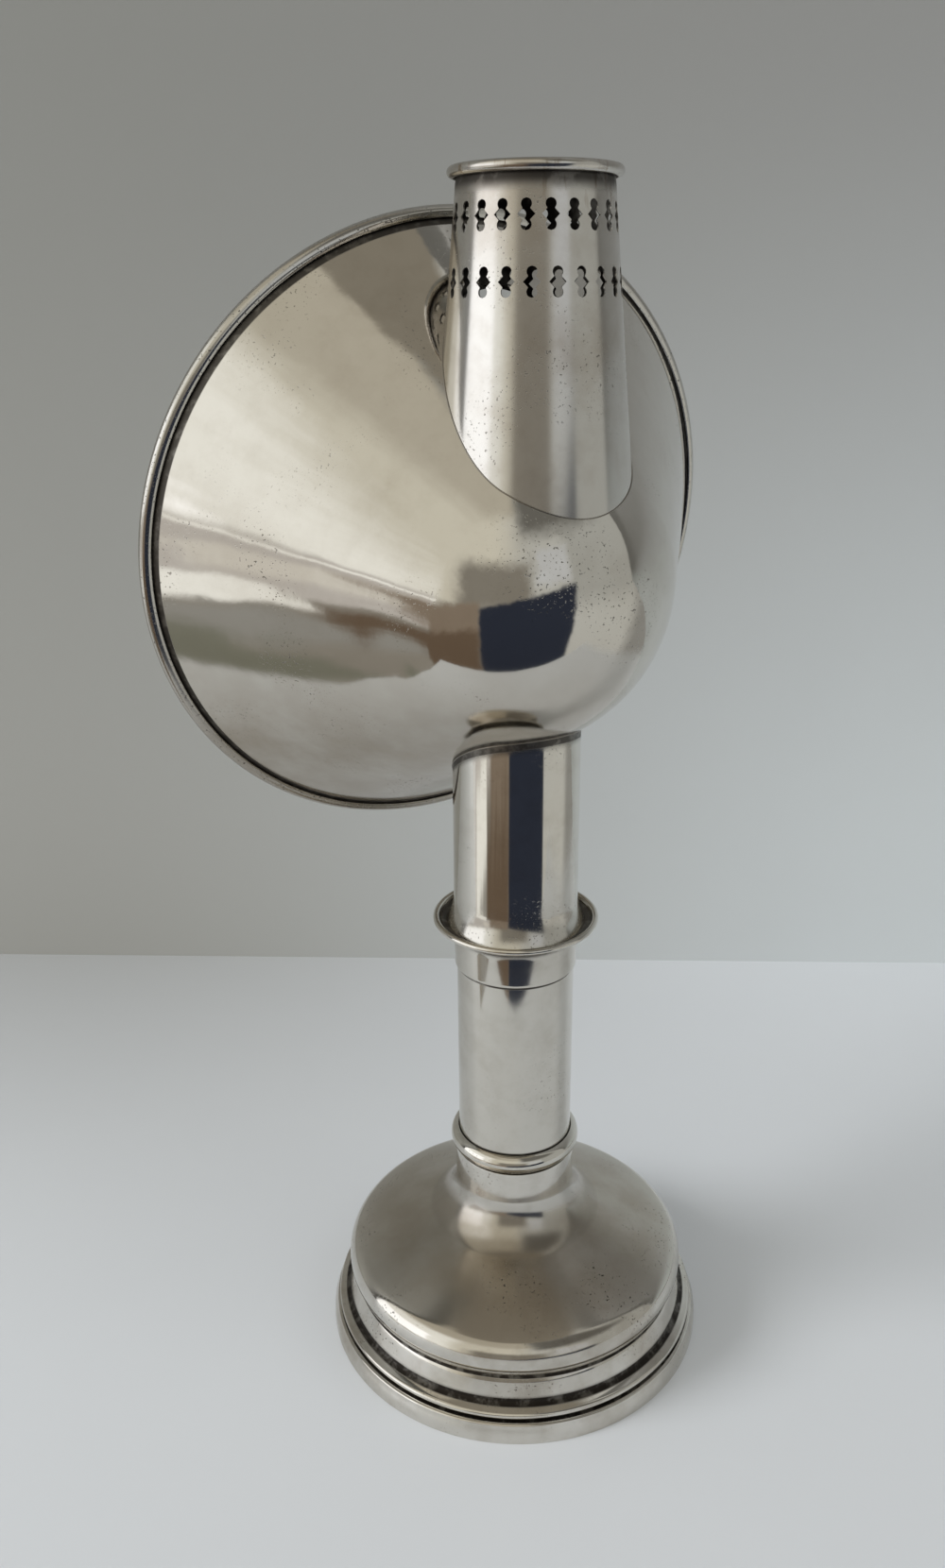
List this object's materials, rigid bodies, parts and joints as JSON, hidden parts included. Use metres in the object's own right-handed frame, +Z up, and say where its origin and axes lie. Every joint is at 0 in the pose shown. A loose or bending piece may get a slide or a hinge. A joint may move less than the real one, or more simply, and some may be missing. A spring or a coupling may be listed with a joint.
{
  "type": "candle reading lamp",
  "caption": "Candle lamp with a weighted foot, a spring-fed candle tube and a head with a cone reflector and a pierced chimney that turns and lifts off.",
  "frame": {"origin": "centre of the foot's underside, on the table", "axes": "+Z up along the stem, the reflector faces -Y, +X to the right when facing the lamp's mouth"},
  "size_m": [0.1662, 0.11, 0.3158],
  "materials": {
    "nickel": "polished nickel plate on brass, worn",
    "satin_nickel": "duller nickel plate with fine pits",
    "iron": "rough casting",
    "brass": "unplated, dull",
    "steel": "drawn wire",
    "wax": "smooth wax",
    "wick": "braided cotton, charred"
  },
  "bodies": {
    "foot": {"foot_shell": "nickel", "neck_bead": "nickel", "foot_weight": "iron", "foot_plate": "brass", "stem_tube": "nickel"},
    "candle_holder": {"candle_tube": "nickel", "tube_stop_ring": "brass", "bayonet_pins": "steel", "tube_plug": "brass", "feed_spring": "steel"},
    "cap": {"candle_cap": "nickel"},
    "feed": {"candle": "wax", "wick": "wick", "follower": "brass"},
    "gallery": {"gallery_cup": "nickel", "gallery_wire": "steel"},
    "head": {"reflector": "nickel", "reflector_wire": "steel", "chimney": "satin_nickel", "chimney_wire": "steel", "head_sleeve": "nickel"}
  },
  "joints": [
    {"name": "tube_lift", "type": "slide", "parent": "foot", "child": "candle_holder", "axis": [0, 0, 1], "range_m": [0, 0.115]},
    {"name": "cap_turn", "type": "hinge", "parent": "candle_holder", "child": "cap", "pos_m": [0, 0, 0.19], "axis": [0, 0, 1], "range_deg": [0, 30]},
    {"name": "candle_feed", "type": "slide", "parent": "candle_holder", "child": "feed", "axis": [0, 0, 1], "range_m": [-0.01, 0], "stiffness_N_per_m": 160, "springref_m": 0.03, "deforming": ["feed_spring"]},
    {"name": "head_turn", "type": "hinge", "parent": "candle_holder", "child": "gallery", "pos_m": [0, 0, 0.13], "axis": [0, 0, 1], "continuous": true},
    {"name": "head_lift", "type": "slide", "parent": "gallery", "child": "head", "axis": [0, 0, 1], "range_m": [0, 0.08]}
  ]
}
